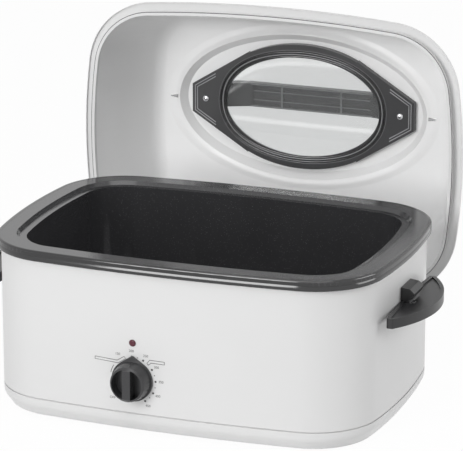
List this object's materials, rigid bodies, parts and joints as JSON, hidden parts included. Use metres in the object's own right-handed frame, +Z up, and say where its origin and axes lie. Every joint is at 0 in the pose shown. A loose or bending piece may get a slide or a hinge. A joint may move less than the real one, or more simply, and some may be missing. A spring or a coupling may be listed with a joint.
{
  "type": "electric roaster oven",
  "caption": "Oval countertop electric roaster oven with lift-out pan and rack, side handles, a front temperature knob and a deep windowed lid carried open behind the body.",
  "frame": {"origin": "centre of the whole object's plan box (open lid included), on the table plane under the feet", "axes": "+X along the long side to the right when facing the control panel, -Y the side with the control knob, +Z up"},
  "size_m": [0.614, 0.6076, 0.4767],
  "materials": {
    "white_paint": "gloss",
    "grey_plastic": "satin",
    "black_plastic": "satin",
    "dark_enamel": "speckled gloss",
    "charcoal_paint": "gloss",
    "galvanised": "satin",
    "aluminised": "satin",
    "rubber": "matte",
    "plated": "polished",
    "clear_glass": "polished",
    "silicone": "matte",
    "red_lens": "gloss",
    "lamp_glass": "clear",
    "glass_fibre": "matte",
    "mica": "matte",
    "white_ceramic": "matte",
    "phenolic": "matte",
    "brass": "satin"
  },
  "bodies": {
    "base": {"outer_housing": "white_paint", "base_pan": "white_paint", "rubber_feet": "rubber", "support_posts": "galvanised", "base_screws": "galvanised", "rim_trim": "black_plastic", "inner_liner": "aluminised", "heating_band": "mica", "insulation_blanket": "glass_fibre", "thermostat": "phenolic", "thermostat_nut": "brass", "indicator_lens": "red_lens", "indicator_lamp": "lamp_glass", "cord_gland": "black_plastic", "terminal_block": "white_ceramic", "handle_left": "black_plastic", "handle_right": "black_plastic", "handle_screws": "galvanised", "hinge_bracket_left": "galvanised", "hinge_bracket_right": "galvanised", "hinge_pins": "plated"},
    "knob": {"control_knob": "grey_plastic", "control_shaft": "galvanised"},
    "pan": {"roasting_pan": "dark_enamel"},
    "rack": {"rack_frame": "plated", "rack_bars": "plated"},
    "bail_left": {"rack_bail_left": "plated"},
    "bail_right": {"rack_bail_right": "plated"},
    "swing_arms": {"swing_arm_left": "galvanised", "swing_arm_right": "galvanised", "pivot_rod": "galvanised"},
    "lid": {"lid_shell": "charcoal_paint", "window_frame": "black_plastic", "window_glass": "clear_glass", "window_gasket": "silicone", "window_screws": "plated", "lid_handle": "black_plastic", "lid_ears": "galvanised"}
  },
  "joints": [
    {"name": "arm_swing", "type": "hinge", "parent": "base", "child": "swing_arms", "pos_m": [0, 0.10433, 0.1548], "axis": [1, 0, 0], "range_deg": [0, 180]},
    {"name": "lid_hinge", "type": "hinge", "parent": "swing_arms", "child": "lid", "pos_m": [0, 0.10433, 0.0828], "axis": [1, 0, 0], "range_deg": [-90, 0]},
    {"name": "knob_turn", "type": "hinge", "parent": "base", "child": "knob", "pos_m": [-0.042, -0.28022, 0.075], "axis": [0, 1, 0], "range_deg": [-135, 150]},
    {"name": "pan_lift", "type": "slide", "parent": "base", "child": "pan", "axis": [0, 0, 1], "range_m": [0, 0.2]},
    {"name": "rack_lift", "type": "slide", "parent": "pan", "child": "rack", "axis": [0, 0, 1], "range_m": [0, 0.18]},
    {"name": "bail_left_fold", "type": "hinge", "parent": "rack", "child": "bail_left", "pos_m": [-0.188, -0.09367, 0.071], "axis": [0, -1, 0], "range_deg": [0, 81]},
    {"name": "bail_right_fold", "type": "hinge", "parent": "rack", "child": "bail_right", "pos_m": [0.188, -0.09367, 0.071], "axis": [0, 1, 0], "range_deg": [0, 81]}
  ],
  "couplings": [
    {"joint": "arm_swing", "follows": "lid_hinge", "ratio": -2}
  ]
}
